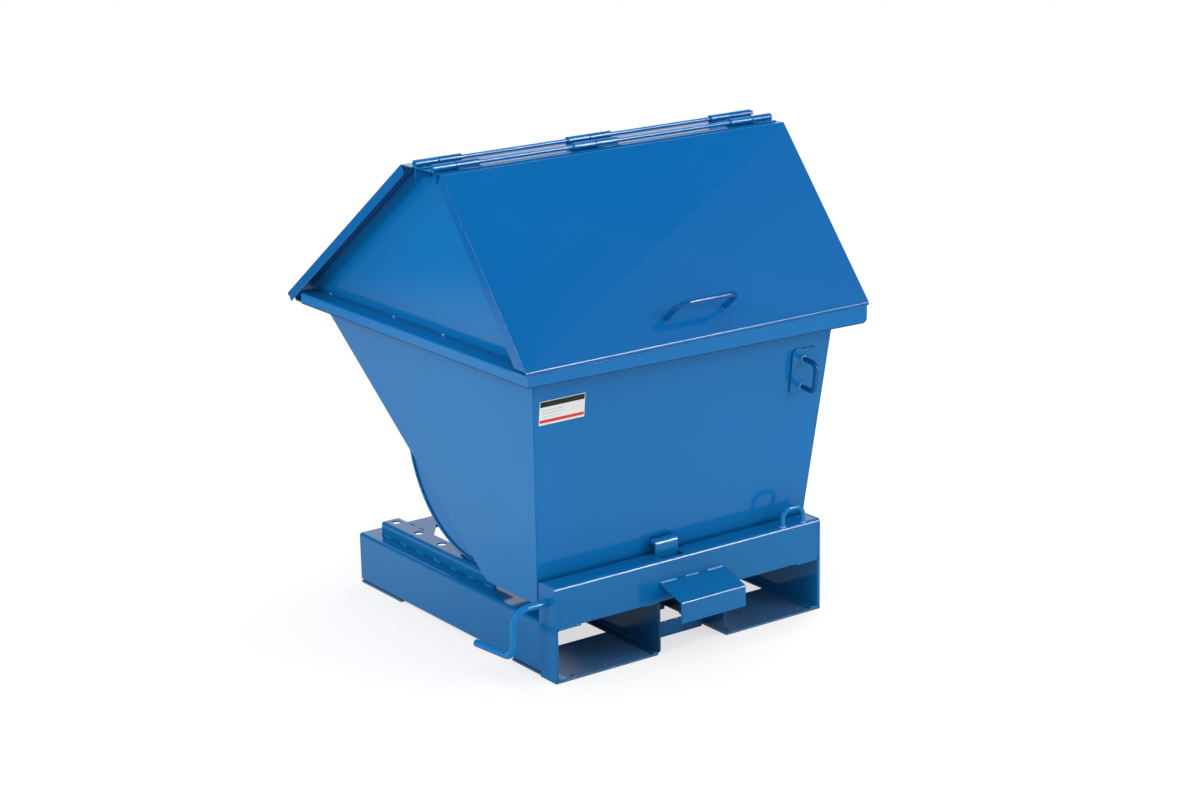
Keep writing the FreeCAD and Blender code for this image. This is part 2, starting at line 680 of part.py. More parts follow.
body = new_body("label_plate")
pad = add(body, "XZ", "-label_thick-weld_gap", "label_thick",
          [box("label_left", "label_right", "label_low" + wall_rise,
               "label_high" + wall_rise)])
soften(body, pad, (0, 1, 2, 3), "inner_bend-2")
place(body, y=size("rear_at_ground"), degrees=lean)

eye = size("eye_across")
foot = -size("plate") - 2 * size("weld_gap")
place(bent_rod("hopper_eye",
               [(eye, foot, size("eye_low")), (eye, -size("eye_reach"), size("eye_low")),
                (eye, -size("eye_reach"), size("eye_high")), (eye, foot, size("eye_high"))],
               size("eye_bar_radius"), size("eye_bend")),
      y=size("rear_at_ground"), degrees=lean)

body = new_body("latch_striker")
outline = [(rear_y("striker_low") + "-weld_gap", "striker_low"),
           (rear_y("striker_top") + "-weld_gap", "striker_top"),
           ("striker_rear", "striker_top"), ("striker_rear", "striker_low")]
add(body, "YZ", "striker_left", "striker_right-striker_left", [outline])
place(body)

# A pair of studs marks the rocker centre, which travels forward as the hopper rolls.
body = new_body("roll_centre_studs")
for start in ("stud_outside-stud_length", "-stud_outside"):
    add(body, "YZ", start, "stud_length", (),
        [("rocker_middle", "rail_top+roll_gap+rocker_radius", "stud_radius")])
place(body)

# ----------------------------------------------------------------------- lids
full_width = "2*lid_half_width"
for word, way in (("rear", -1), ("front", 1)):
    fold = "%s_fold" % word
    run = "(%d*(%s_foot-%s_fold))" % (way, word, word)
    fall = "(lid_top-%s_foot_height)" % word
    long_side = "sqrt(%s^2+%s^2)" % (run, fall)
    sine = "(%s/%s)" % (fall, long_side)
    cosine = "(%s/%s)" % (run, long_side)
    foot_y = word + "_foot"
    foot_z = word + "_foot_height"

    def inward(along, up, depth):
        """A point moved square to the lid's slope, to its inside."""
        return ("%s-%d*%s*(%s)" % (along, way, sine, depth),
                "%s-%s*(%s)" % (up, cosine, depth))

    body = new_body(word + "_lid")
    bend_in = "%s-%d*lid_sheet*(1-%s)/%s" % (fold, way, cosine, sine)
    outline = [(word + "_flange_edge", "lid_top"), (fold, "lid_top"), (foot_y, foot_z),
               inward(foot_y, foot_z, "lid_sheet"), (bend_in, "lid_top-lid_sheet"),
               (word + "_flange_edge", "lid_top-lid_sheet")]
    pad = add(body, "YZ", "-lid_half_width", full_width, [outline])
    soften(body, pad, (1,), "inner_bend")
    soften(body, pad, (4,), "inner_bend-lid_sheet")
    if word == "rear":
        skirt = [inward(fold, "lid_top", "lid_sheet/2"),
                 inward(foot_y, foot_z, "lid_sheet/2"),
                 ("%s+rear_skirt_foot/%s" % (foot_y, sine), "rear_skirt_cut"),
                 inward(fold, "lid_top", "rear_skirt_top")]
    else:
        skirt = [inward(fold, "lid_top", "lid_sheet/2"),
                 inward(foot_y, foot_z, "lid_sheet/2"),
                 inward(foot_y, foot_z, "front_skirt"),
                 inward(fold, "lid_top", "front_skirt")]
    for start in ("lid_half_width-lid_sheet", "-lid_half_width"):
        add(body, "YZ", start, "lid_sheet", [skirt])
    hem = box(foot_y, "%s-%d*lid_sheet" % (foot_y, way), "%s-hem_depth" % foot_z,
              foot_z)
    add(body, "YZ", "-lid_half_width", full_width, [hem])
    place(body)

    knuckles(word + "_lid_knuckles", word + "_hinge", 1, way)

    tilt = math.atan2(size("lid_top") - size(foot_z), abs(size(foot_y) - size(fold)))
    down = FreeCAD.Vector(0, way * math.cos(tilt), -math.sin(tilt))
    out = FreeCAD.Vector(0, way * math.sin(tilt), math.cos(tilt))
    foot = FreeCAD.Vector(0, size(foot_y), size(foot_z)) - down * size("handle_from_edge")
    wide = FreeCAD.Vector(size("handle_half_width"), 0, 0)
    start = foot + out * size("weld_gap")
    end = foot + out * size("handle_reach")
    place(bent_rod(word + "_lid_handle",
                   [tuple(start - wide), tuple(end - wide), tuple(end + wide),
                    tuple(start + wide)],
                   size("handle_bar_radius"), size("handle_bend")))

# --------------------------------------------------------------- check, write
doc.recompute()
for item in doc.Objects:
    if "Invalid" in item.State or "Error" in item.State:
        raise RuntimeError("%s failed to build" % item.Label)
os.makedirs("parts", exist_ok=True)
for item in nodes:
    shape = item.Shape
    if shape.isNull() or not shape.isValid() or not shape.Solids:
        raise RuntimeError("%s has no valid solid" % item.Label)
    shape.exportStep("parts/%s.step" % item.Label)
print("%d nodes written" % len(nodes))
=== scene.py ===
import json
import math
import random
import bmesh
import bpy
from mathutils import Matrix, Vector


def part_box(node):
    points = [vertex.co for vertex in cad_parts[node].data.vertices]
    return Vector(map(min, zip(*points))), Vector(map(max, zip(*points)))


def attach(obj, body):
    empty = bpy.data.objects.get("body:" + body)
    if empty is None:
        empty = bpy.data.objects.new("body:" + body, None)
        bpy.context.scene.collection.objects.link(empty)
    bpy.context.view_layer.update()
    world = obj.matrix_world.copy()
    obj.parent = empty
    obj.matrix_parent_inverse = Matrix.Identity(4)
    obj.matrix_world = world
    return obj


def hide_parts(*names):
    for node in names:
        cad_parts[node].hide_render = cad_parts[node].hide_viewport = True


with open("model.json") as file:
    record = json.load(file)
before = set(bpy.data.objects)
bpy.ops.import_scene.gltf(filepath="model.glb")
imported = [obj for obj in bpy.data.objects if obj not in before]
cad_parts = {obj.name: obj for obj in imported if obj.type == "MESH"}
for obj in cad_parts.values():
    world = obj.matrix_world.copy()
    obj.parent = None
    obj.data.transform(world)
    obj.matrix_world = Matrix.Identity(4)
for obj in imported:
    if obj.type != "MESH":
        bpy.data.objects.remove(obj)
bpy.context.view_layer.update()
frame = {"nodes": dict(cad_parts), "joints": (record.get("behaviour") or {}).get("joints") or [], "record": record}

random.seed(11)
scene = bpy.context.scene
nodes = frame["nodes"]
joints = {joint["name"]: joint for joint in frame["joints"]}


# ------------------------------------------------------------------ node helpers
def new_material(name):
    mat = bpy.data.materials.new(name)
    mat.use_nodes = True
    mat.node_tree.nodes.clear()
    return mat, mat.node_tree


def node(tree, kind, **values):
    made = tree.nodes.new(kind)
    for key, value in values.items():
        if hasattr(made, key):
            setattr(made, key, value)
        else:
            made.inputs[key.replace("_", " ")].default_value = value
    return made


def link(tree, source, out, target, inp):
    tree.links.new(source.outputs[out], target.inputs[inp])


def noise(tree, coords, scale, detail=3.0, rough=0.5):
    made = node(tree, "ShaderNodeTexNoise", Scale=scale, Detail=detail, Roughness=rough)
    link(tree, coords, "Object", made, "Vector")
    return made


def ramp(tree, source, out, stops):
    made = tree.nodes.new("ShaderNodeValToRGB")
    made.color_ramp.elements[0].position = stops[0][0]
    made.color_ramp.elements[0].color = stops[0][1]
    made.color_ramp.elements[1].position = stops[1][0]
    made.color_ramp.elements[1].color = stops[1][1]
    link(tree, source, out, made, "Fac")
    return made


def mix(tree, factor, a, b, blend="MIX"):
    """Mix two colours. Each of factor, a and b is a number, a colour or (node, output)."""
    made = tree.nodes.new("ShaderNodeMix")
    made.data_type = "RGBA"
    made.blend_type = blend
    sockets = {"Factor": made.inputs[0], "A": made.inputs[6], "B": made.inputs[7]}
    for key, value in (("Factor", factor), ("A", a), ("B", b)):
        if isinstance(value, tuple) and hasattr(value[0], "outputs"):
            tree.links.new(value[0].outputs[value[1]], sockets[key])
        else:
            sockets[key].default_value = value
    return made, 2


def lay_painted_shade(tree, base, mask, deep, part):
    """Lay painted shade, a darker tone of the paint, over a base colour where a mask ramp is white."""
    dark = (deep[0] * part[0], deep[1] * part[1], deep[2] * part[2], 1)
    return mix(tree, (mask, 0), base, dark)


def worn_and_highlit_edges(tree, coords, base, light, bevel, wear_and_highlight):
    """Paler, broken paint where the rounded normal turns away from the flat one: chipped wear, and a painted
    highlight along the edges.
    """
    plain = tree.nodes.new("ShaderNodeNewGeometry")
    dot = node(tree, "ShaderNodeVectorMath", operation="DOT_PRODUCT")
    link(tree, bevel, 0, dot, 0)
    link(tree, plain, "Normal", dot, 1)
    edge = ramp(tree, dot, "Value", ((0.80, (1, 1, 1, 1)), (0.985, (0, 0, 0, 1))))
    chips = noise(tree, coords, 160.0, 2.0, 0.6)
    chip_ramp = ramp(tree, chips, 0, ((0.44, (0.15,) * 3 + (1,)), (0.66, (1, 1, 1, 1))))
    mask = mix(tree, 1.0, (edge, 0), (chip_ramp, 0), "MULTIPLY")
    scaled = node(tree, "ShaderNodeMath", operation="MULTIPLY")
    tree.links.new(mask[0].outputs[2], scaled.inputs[0])
    scaled.inputs[1].default_value = wear_and_highlight
    # The edge tone is paler and bluer than the paint: part worn paint, part painted highlight.
    wear_and_highlight_tone = (light[0] + 0.03, light[1] + 0.09, light[2] + 0.12, 1)
    return mix(tree, (scaled, 0), base, wear_and_highlight_tone)


def shade_line_mask(tree, coords, shade_line):
    """A mask for a painted shade line above a band's lower edge, which may fall towards plus x.

    The third argument holds the edge's rise at the low-x end, then where the line starts and stops above the edge,
    all in parts of the band's height.
    """
    rise, start, stop = shade_line
    split = tree.nodes.new("ShaderNodeSeparateXYZ")
    link(tree, coords, "Generated", split, 0)
    level = node(tree, "ShaderNodeMath", operation="MULTIPLY_ADD")
    link(tree, split, "X", level, 0)
    level.inputs[1].default_value = rise
    link(tree, split, "Z", level, 2)
    return ramp(tree, level, 0, ((rise + start, (0.8, 0.8, 0.8, 1)),
                                 (rise + stop, (0, 0, 0, 1))))


def uneven_surface(tree, coords, bevel, wave):
    """Normals with rounded edges, slow waves in the sheet and orange peel in the paint."""
    ripple = noise(tree, coords, 4.0, 1.0, 0.3)
    sheet_bump = node(tree, "ShaderNodeBump", Strength=1.0, Distance=wave)
    link(tree, ripple, 0, sheet_bump, "Height")
    link(tree, bevel, 0, sheet_bump, "Normal")
    peel = noise(tree, coords, 620.0, 2.0, 0.5)
    peel_bump = node(tree, "ShaderNodeBump", Strength=0.16, Distance=0.00005)
    link(tree, peel, 0, peel_bump, "Height")
    link(tree, sheet_bump, 0, peel_bump, "Normal")
    return peel_bump


def paint(name, deep, light, rough=0.09, wave=0.0007, wear_and_highlight=0.35, grime=0.10,
          rounding=0.0014, crease_shade=0.0, shade_line=None):
    """Glossy enamel: slow tone drift, fine dust, thin worn paint on edges that also stands as a painted highlight,
    orange peel.

    The crease value sets how much painted shade darkens a corner between two sheets. The hem value, if given, lays
    a painted shade line just above a band's lower edge.
    """
    mat, tree = new_material(name)
    coords = tree.nodes.new("ShaderNodeTexCoord")
    drift = noise(tree, coords, 1.7, 2.0, 0.4)
    drift_ramp = ramp(tree, drift, 0, ((0.25, (0, 0, 0, 1)), (0.78, (1, 1, 1, 1))))
    tone = mix(tree, (drift_ramp, 0), deep, light)
    dust = noise(tree, coords, 260.0, 3.0, 0.6)
    dust_ramp = ramp(tree, dust, 0, ((0.60, (0, 0, 0, 1)), (0.90, (grime,) * 3 + (1,))))
    tone = mix(tree, (dust_ramp, 0), tone, tuple(part + 0.05 for part in light[:3]) + (1,))
    bevel = node(tree, "ShaderNodeBevel", samples=4, Radius=rounding)
    tone = worn_and_highlit_edges(tree, coords, tone, light, bevel, wear_and_highlight)
    if crease_shade:
        # Painted shade: the paint darkens where ambient occlusion finds a corner close by.
        near = node(tree, "ShaderNodeAmbientOcclusion", samples=6, Distance=0.012)
        crease_shade_mask = ramp(tree, near, "AO", ((0.25, (crease_shade,) * 3 + (1,)),
                                            (0.85, (0, 0, 0, 1))))
        tone = lay_painted_shade(tree, tone, crease_shade_mask, deep, (0.3, 0.3, 0.35))
    if shade_line:
        # Painted shade: a dark line just above the band's lower edge.
        tone = lay_painted_shade(tree, tone, shade_line_mask(tree, coords, shade_line), deep, (1, 0.25, 0.3))

    shader = node(tree, "ShaderNodeBsdfPrincipled", IOR=1.5)
    tree.links.new(tone[0].outputs[2], shader.inputs["Base Color"])
    gloss = noise(tree, coords, 6.0, 3.0, 0.5)
    gloss_map = node(tree, "ShaderNodeMapRange")
    gloss_map.inputs["To Min"].default_value = rough * 0.8
    gloss_map.inputs["To Max"].default_value = rough * 1.25
    link(tree, gloss, 0, gloss_map, "Value")
    link(tree, gloss_map, 0, shader, "Roughness")
    link(tree, uneven_surface(tree, coords, bevel, wave), 0, shader, "Normal")
    out = tree.nodes.new("ShaderNodeOutputMaterial")
    link(tree, shader, 0, out, "Surface")
    return mat


def soft_material(name, dark, light, rough, scale, bump):
    """Plain moulded or printed surface with fine grain."""
    mat, tree = new_material(name)
    coords = tree.nodes.new("ShaderNodeTexCoord")
    grain = noise(tree, coords, scale, 5.0, 0.6)
    tone = mix(tree, (grain, 0), dark, light)
    shader = node(tree, "ShaderNodeBsdfPrincipled", Roughness=rough)
    tree.links.new(tone[0].outputs[2], shader.inputs["Base Color"])
    relief = node(tree, "ShaderNodeBump", Strength=0.3, Distance=bump)
    link(tree, grain, 0, relief, "Height")
    link(tree, relief, 0, shader, "Normal")
    out = tree.nodes.new("ShaderNodeOutputMaterial")
    link(tree, shader, 0, out, "Surface")
    return mat


BODY_DEEP = (0.003, 0.150, 0.425, 1)
BODY_LIGHT = (0.004, 0.166, 0.460, 1)
LID_DEEP = (0.002, 0.117, 0.362, 1)
LID_LIGHT = (0.003, 0.127, 0.388, 1)
BASE_DEEP = (0.003, 0.130, 0.360, 1)
BASE_LIGHT = (0.004, 0.145, 0.395, 1)
BAR_LIGHT = (0.010, 0.185, 0.490, 1)
body_paint = paint("body_paint", BODY_DEEP, BODY_LIGHT, crease_shade=0.75)
lid_paint = paint("lid_paint", LID_DEEP, LID_LIGHT, rough=0.07, wave=0.0004,
                  rounding=0.0022)
base_paint = paint("base_paint", BASE_DEEP, BASE_LIGHT, rough=0.11, wave=0.0002,
                   wear_and_highlight=0.5, grime=0.2, crease_shade=0.6)
# Painted shade: the pocket floor plates and inner channels are painted much darker than the base paint, for the
# shade inside the fork pockets; the pocket plates also carry dust and worn edges.
dusty_shaded_pocket_paint = paint("dusty_shaded_pocket_paint", (0.020, 0.110, 0.270, 1), (0.075, 0.180, 0.350, 1),
                     rough=0.28, wave=0.0005, wear_and_highlight=0.6, grime=0.6)
shaded_web_paint = paint("shaded_web_paint", (0.003, 0.050, 0.145, 1), (0.006, 0.065, 0.180, 1),
                  rough=0.22, wave=0.0005, wear_and_highlight=0.8, grime=0.3)
bar_paint = paint("bar_paint", BODY_LIGHT, BAR_LIGHT, wave=0.0002, wear_and_highlight=0.2)
# Painted reflection: the eye and lid handle bars are painted darker than the body, for the dark surroundings they
# mirror.
darkened_grip_paint = paint("darkened_grip_paint", (0.002, 0.075, 0.260, 1), (0.003, 0.110, 0.340, 1),
                   wave=0.0002, wear_and_highlight=0.3)
# The two rim paints lay the painted shade line above each band's lower edge; the rear band's edge falls along x.
side_rim_paint = paint("side_rim_paint", BODY_DEEP, BODY_LIGHT, crease_shade=0.75,
                       shade_line=(0.0, 0.09, 0.15))
rear_rim_paint = paint("rear_rim_paint", BODY_DEEP, BODY_LIGHT, crease_shade=0.75,
                       shade_line=(0.349, 0.04, 0.08))
# Painted shade: the lids' undersides take a darker paint, for the deep shade under them.
shaded_under_paint = paint("shaded_under_paint", (0.002, 0.080, 0.260, 1), (0.003, 0.095, 0.300, 1),
                    rough=0.5, wave=0.0004)
# Painted highlight: a paler, whiter paint on the weld tacks stands for their glints.
glint_paint = paint("glint_paint", (0.050, 0.250, 0.560, 1), (0.160, 0.400, 0.720, 1),
                   rough=0.13, wave=0.0002, wear_and_highlight=0.2)
weld_paint = paint("weld_paint", BODY_LIGHT, BAR_LIGHT, rough=0.13, wave=0.0002,
                   wear_and_highlight=0.2)
rubber = soft_material("buffer_rubber", (0.012, 0.012, 0.012, 1), (0.03, 0.03, 0.03, 1),
                       0.7, 300.0, 0.0002)
label_white = soft_material("label_white", (0.76, 0.76, 0.74, 1), (0.84, 0.84, 0.83, 1),
                            0.35, 90.0, 0.00004)
label_black = soft_material("label_black", (0.008, 0.008, 0.009, 1), (0.02, 0.02, 0.02, 1),
                            0.3, 90.0, 0.00004)
label_red = soft_material("label_red", (0.62, 0.035, 0.02, 1), (0.74, 0.06, 0.035, 1),
                          0.3, 90.0, 0.00004)
label_grey = soft_material("label_grey", (0.35, 0.35, 0.35, 1), (0.45, 0.45, 0.45, 1),
                           0.4, 90.0, 0.00004)


# --------------------------------------------------------------- CAD node finish
def greater_than(tree, source, limit):
    made = tree.nodes.new("FunctionNodeCompare")
    made.data_type = "FLOAT"
    made.operation = "GREATER_THAN"
    made.inputs["B"].default_value = limit
    tree.links.new(source, made.inputs["A"])
    return made


def smooth_by_angle():
    """A modifier tree that joins doubled corners and smooths all but real edges.

    A big flat face stays flat where it runs into a bend of narrow strips.
    """
    tree = bpy.data.node_groups.new("smooth_bends", "GeometryNodeTree")
    tree.interface.new_socket("Geometry", in_out="INPUT",
                              socket_type="NodeSocketGeometry")
    tree.interface.new_socket("Geometry", in_out="OUTPUT",
                              socket_type="NodeSocketGeometry")
    start = tree.nodes.new("NodeGroupInput")
    end = tree.nodes.new("NodeGroupOutput")
    merge = tree.nodes.new("GeometryNodeMergeByDistance")
    merge.inputs["Distance"].default_value = 0.00001
    faces = tree.nodes.new("GeometryNodeSetShadeSmooth")
    faces.domain = "FACE"
    angle = tree.nodes.new("GeometryNodeInputMeshEdgeAngle")
    area = tree.nodes.new("GeometryNodeInputMeshFaceArea")
    sharp = greater_than(tree, angle.outputs["Unsigned Angle"], math.radians(32))
    big = greater_than(tree, area.outputs[0], 0.001)
    edges = tree.nodes.new("GeometryNodeSetShadeSmooth")
    edges.domain = "EDGE"
    edges.inputs["Shade Smooth"].default_value = False
    tree.links.new(start.outputs[0], merge.inputs["Geometry"])
    tree.links.new(merge.outputs[0], faces.inputs["Geometry"])
    tree.links.new(faces.outputs[0], edges.inputs["Geometry"])
    either = tree.nodes.new("FunctionNodeBooleanMath")
    either.operation = "OR"
    tree.links.new(sharp.outputs[0], either.inputs[0])
    tree.links.new(big.outputs[0], either.inputs[1])
    tree.links.new(either.outputs[0], edges.inputs["Selection"])
    tree.links.new(edges.outputs[0], end.inputs[0])
    return tree


SMOOTH = smooth_by_angle()
BARS = ("latch_lever", "beam_loop", "hinge_rod_rear", "hinge_rod_front")
GRIPS = ("hopper_eye", "rear_lid_handle", "front_lid_handle")
BASE_BODY = frame["record"]["behaviour"]["bodies"]["base"]


def cad_material(name):
    if name == "rest_buffers":
        return rubber
    if name == "label_plate":
        return label_white
    if name in GRIPS:
        return darkened_grip_paint
    if name in BARS:
        return bar_paint
    if name == "rim_rear":
        return rear_rim_paint
    if name in ("rim_left", "rim_right"):
        return side_rim_paint
    if "lid" in name:
        return lid_paint
    if "floor_plate" in name:
        return dusty_shaded_pocket_paint
    if "inner_channel" in name:
        return shaded_web_paint
    if name in BASE_BODY:
        return base_paint
    return body_paint


for name, item in nodes.items():
    item.data.materials.clear()
    item.data.materials.append(cad_material(name))
    modifier = item.modifiers.new("smooth_bends", "NODES")
    modifier.node_group = SMOOTH


# ----------------------------------------------------------------- mesh helpers
def finish_mesh(name, mesh, body, material):
    item = bpy.data.objects.new(name, mesh)
    scene.collection.objects.link(item)
    mesh.materials.append(material)
    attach(item, body)
    return item


def bead_rings(bm, start, end, radius, pitch=0.004, sides=10):
    """A weld bead between two points: a tube with ripples and round ends."""
    along = end - start
    length = along.length
    along.normalize()
    helper = Vector((0, 0, 1)) if abs(along.z) < 0.9 else Vector((1, 0, 0))
    u = along.cross(helper).normalized()
    v = along.cross(u)
    count = max(6, int(length / (pitch / 3)))
    rows = []
    for i in range(count + 1):
        s = i / count
        reach = min(s, 1 - s) * length
        end_round = math.sqrt(max(0.0, 1 - (1 - min(1.0, reach / radius)) ** 2))
        wave = 0.88 + 0.12 * math.cos(2 * math.pi * s * length / pitch)
        r = max(0.00005, radius * end_round * wave * random.uniform(0.95, 1.05))
        middle = start + along * (s * length)
        rows.append([bm.verts.new(middle + (u * math.cos(2 * math.pi * k / sides)
                                            + v * math.sin(2 * math.pi * k / sides)) * r)
                     for k in range(sides)])
    for row, after in zip(rows, rows[1:]):
        for k in range(sides):
            n = (k + 1) % sides
            bm.faces.new((row[k], row[n], after[n], after[k]))
    bm.faces.new(list(reversed(rows[0])))
    bm.faces.new(rows[-1])


def ring_rings(bm, centre, axis, ring_radius, radius, sides=8, steps=40):
    """A weld bead round the foot of a bar."""
    axis = axis.normalized()
    helper = Vector((0, 0, 1)) if abs(axis.z) < 0.9 else Vector((1, 0, 0))
    u = axis.cross(helper).normalized()
    v = axis.cross(u)
    rows = []
    for i in range(steps):
        turn = 2 * math.pi * i / steps
        out = u * math.cos(turn) + v * math.sin(turn)
        r = radius * (0.88 + 0.12 * math.cos(turn * 9)) * random.uniform(0.95, 1.05)
        spot = centre + out * ring_radius
        rows.append([bm.verts.new(spot + (out * math.cos(2 * math.pi * k / sides)
                                          + axis * math.sin(2 * math.pi * k / sides)) * r)
                     for k in range(sides)])
    for i, row in enumerate(rows):
        after = rows[(i + 1) % steps]
        for k in range(sides):
            n = (k + 1) % sides
            bm.faces.new((row[k], row[n], after[n], after[k]))


def welds(name, body, lines=(), rings=(), material=None):
    """One mesh with all the weld beads of one seam family."""
    bm = bmesh.new()
    for start, end, radius in lines:
        bead_rings(bm, Vector(start), Vector(end), radius)
    for centre, axis, ring_radius, radius in rings:
        ring_rings(bm, Vector(centre), Vector(axis), ring_radius, radius)
    bmesh.ops.recalc_face_normals(bm, faces=bm.faces)
    mesh = bpy.data.meshes.new(name)
    bm.to_mesh(mesh)
    bm.free()
    for face in mesh.polygons:
        face.use_smooth = True
    finish_mesh(name, mesh, body, material or weld_paint)


def corner(name):
    """A CAD node's box as two vectors."""
    low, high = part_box(name)
    return Vector(low), Vector(high)


# Sizes the CAD nodes' boxes do not tell, in metres. A lean is metres out per metre up.
FRAME_MIDDLE = 0.01835
WALL_AT_GROUND = -0.34481 - FRAME_MIDDLE
WALL_LEAN = 0.12545
WALL_OUT = Vector((0, -math.cos(math.atan(WALL_LEAN)), -math.sin(math.atan(WALL_LEAN))))
SIDE_AT_GROUND = 0.382456
SIDE_LEAN = 0.0811
SLOPE_RISE = 0.888
SLOPE_FOOT = (-0.132, 0.191)
EYE_BAR_RADIUS = 0.0065
EYE_FEET = (0.584, 0.656)
LOOP_BAR_RADIUS = 0.006
HANDLE_BAR_RADIUS = 0.007
HANDLE_FEET = (-0.086, 0.086)
HANDLE_FROM_LIP = 0.062
POCKET_INSIDE = 0.098
# Flange edge, fold and foot along y, and height of the foot, for each lid leaf.
LID_LINES = {"rear": (-0.1476, -0.180, -0.5025, 0.782),
             "front": (-0.0494, -0.0065, 0.5642, 0.7642)}
LID_RISE = 0.007
LID_SKIRT = {"rear": 0.022, "front": 0.0245}
LID_HEM = 0.0072
LID_FOLD_BEND = 0.004
LID_LIP_BEND = 0.005
KNUCKLE_STARTS = {"rear": (-0.498, -0.105, 0.366), "front": (-0.498, -0.070, 0.361)}
KNUCKLE_PITCH = 0.064
KNUCKLE_RADIUS = 0.009
LEAF_REACH = 0.024

# --------------------------------------------------------------------- welds
rail_low, rail_high = corner("track_rail_left")
beam_low, beam_high = corner("rear_beam")
stitches = []
first_stitch = rail_low.y + 0.03
stitch_pitch = (rail_high.y - rail_low.y - 0.06) / 6
for side in (-1, 1):
    foot_x = side * -rail_low.x
    for i in range(7):
        middle = first_stitch + i * stitch_pitch
        stitches.append(((foot_x, middle - 0.016, rail_low.z + 0.0008),
                         (foot_x, middle + 0.016, rail_low.z + 0.0008), 0.0042))
    stitches.append(((foot_x - side * 0.02, rail_high.y, rail_low.z + 0.001),
                     (foot_x, rail_high.y, rail_low.z + 0.001), 0.004))
welds("rail_stitches", "base", stitches)

hood_low, hood_high = corner("rear_hood")
hood_lines = [((left, beam_low.y, hood_high.z), (right, beam_low.y, hood_high.z), radius)
              for left, right, radius in ((hood_low.x + 0.002, hood_low.x + 0.05, 0.0035),
                                          (hood_high.x - 0.05, hood_high.x - 0.002, 0.0035),
                                          (-0.02, 0.02, 0.003))]
welds("hood_welds", "base", hood_lines, material=glint_paint)

beam_lines = []
for side in (-1, 1):
    x = side * beam_high.x
    beam_lines.append(((x, beam_low.y + 0.004, beam_high.z - 0.001),
                       (x, beam_high.y - 0.004, beam_high.z - 0.001), 0.0022))
    for along in (beam_low.y, beam_high.y):
        beam_lines.append(((x, along, beam_low.z + 0.004), (x, along, beam_high.z - 0.008),
                           0.0022))
    inner = side * POCKET_INSIDE
    beam_lines.append(((inner, beam_low.y + 0.001, beam_low.z),
                       (inner + side * 0.04, beam_low.y + 0.001, beam_low.z), 0.0025))
welds("beam_welds", "base", beam_lines)

deck_high = corner("deck_plate")[1]
deck_lines = []
for side in (-1, 1):
    x = side * deck_high.x
    for along in (deck_high.y - 0.03, deck_high.y - 0.075):
        deck_lines.append(((x, along - 0.012, deck_high.z), (x, along + 0.012, deck_high.z),
                           0.0022))
welds("deck_welds", "base", deck_lines)

loop_low, loop_high = corner("beam_loop")
loop_rings = [((x, (loop_low.y + loop_high.y) / 2, beam_high.z), (0, 0, 1),
               LOOP_BAR_RADIUS, 0.0028)
              for x in (loop_low.x + LOOP_BAR_RADIUS, loop_high.x - LOOP_BAR_RADIUS)]
welds("loop_welds", "base", (), loop_rings, glint_paint)

strip_lines = []
for word in ("rear", "middle", "front"):
    low, high = corner("cross_strip_" + word)
    for x in (low.x, high.x):
        for y in (low.y, high.y):
            strip_lines.append(((x, y, low.z + 0.006), (x, y, high.z - 0.004), 0.0022))
welds("strip_welds", "base", strip_lines)

gable_low = corner("gable_left")[0]
tacks = []
for side in (-1, 1):
    x = side * -gable_low.x + side * 0.001
    z = gable_low.z + 0.001
    for along in (0.443, 0.142, -0.078, -0.430):
        y = along - FRAME_MIDDLE
        tacks.append(((x, y - 0.006, z), (x, y + 0.006, z), 0.0038))
welds("gable_tacks", "hopper", tacks, material=glint_paint)


def wall_point(x, z, off=0.0):
    """A point on the outer face of the leaning rear wall, or off it by some depth."""
    return Vector((x, WALL_AT_GROUND - WALL_LEAN * z, z)) + WALL_OUT * off


pad_low, pad_high = corner("eye_backing_plate")
eye_low, eye_high = corner("hopper_eye")
eye_x = (eye_low.x + eye_high.x) / 2
eye_rings = [(wall_point(eye_x, along * -WALL_OUT.y, 0.004), WALL_OUT, EYE_BAR_RADIUS,
              0.0034) for along in EYE_FEET]
pad_lines = []
for z in (pad_low.z + 0.001, pad_high.z - 0.001):
    for x in (pad_low.x + 0.01, pad_high.x - 0.03):
        pad_lines.append((wall_point(x, z, 0.001), wall_point(x + 0.02, z, 0.001), 0.0024))
welds("eye_welds", "hopper", pad_lines, eye_rings, glint_paint)

striker_low, striker_high = corner("latch_striker")
welds("striker_welds", "hopper",
      [(wall_point(striker_low.x + 0.004, striker_low.z),
        wall_point(striker_high.x - 0.004, striker_low.z), 0.003)])


def rear_corner(side, z):
    """A point on the seam where the rear wall meets a side sheet."""
    return Vector((side * (SIDE_AT_GROUND + SIDE_LEAN * z - 0.0012),
                   WALL_AT_GROUND - WALL_LEAN * z + 0.0008, z))


seams = [(rear_corner(side, 0.176), rear_corner(side, 0.772), 0.0016) for side in (-1, 1)]
welds("corner_seams", "hopper", seams, material=body_paint)

# Stitches along both sides of a rocker web, up the slope plate from its foot.
web_low, web_high = corner("rocker_web_left")
up_y = math.cos(math.atan(SLOPE_RISE))
up_z = math.sin(math.atan(SLOPE_RISE))
web_lines = []
for side in (-1, 1):
    x = side * -(web_low.x + web_high.x) / 2
    for i in range(6):
        at = 0.05 + i * 0.085
        y = SLOPE_FOOT[0] - FRAME_MIDDLE + at * up_y
        z = SLOPE_FOOT[1] + at * up_z
        for off in (-0.0027, 0.0027):
            web_lines.append(((x + off, y, z),
                              (x + off, y + 0.028 * up_y, z + 0.028 * up_z), 0.003))
welds("rocker_welds", "hopper", web_lines)


# ----------------------------------------------------------------------- lids
def bend_points(centre_y, centre_z, way, radius, first, last):
    """Seven points inside a bend, from one angle above the outward way to another."""
    return [(centre_y + way * radius * math.cos(first + (last - first) * i / 8),
             centre_z + radius * math.sin(first + (last - first) * i / 8))
            for i in range(1, 8)]


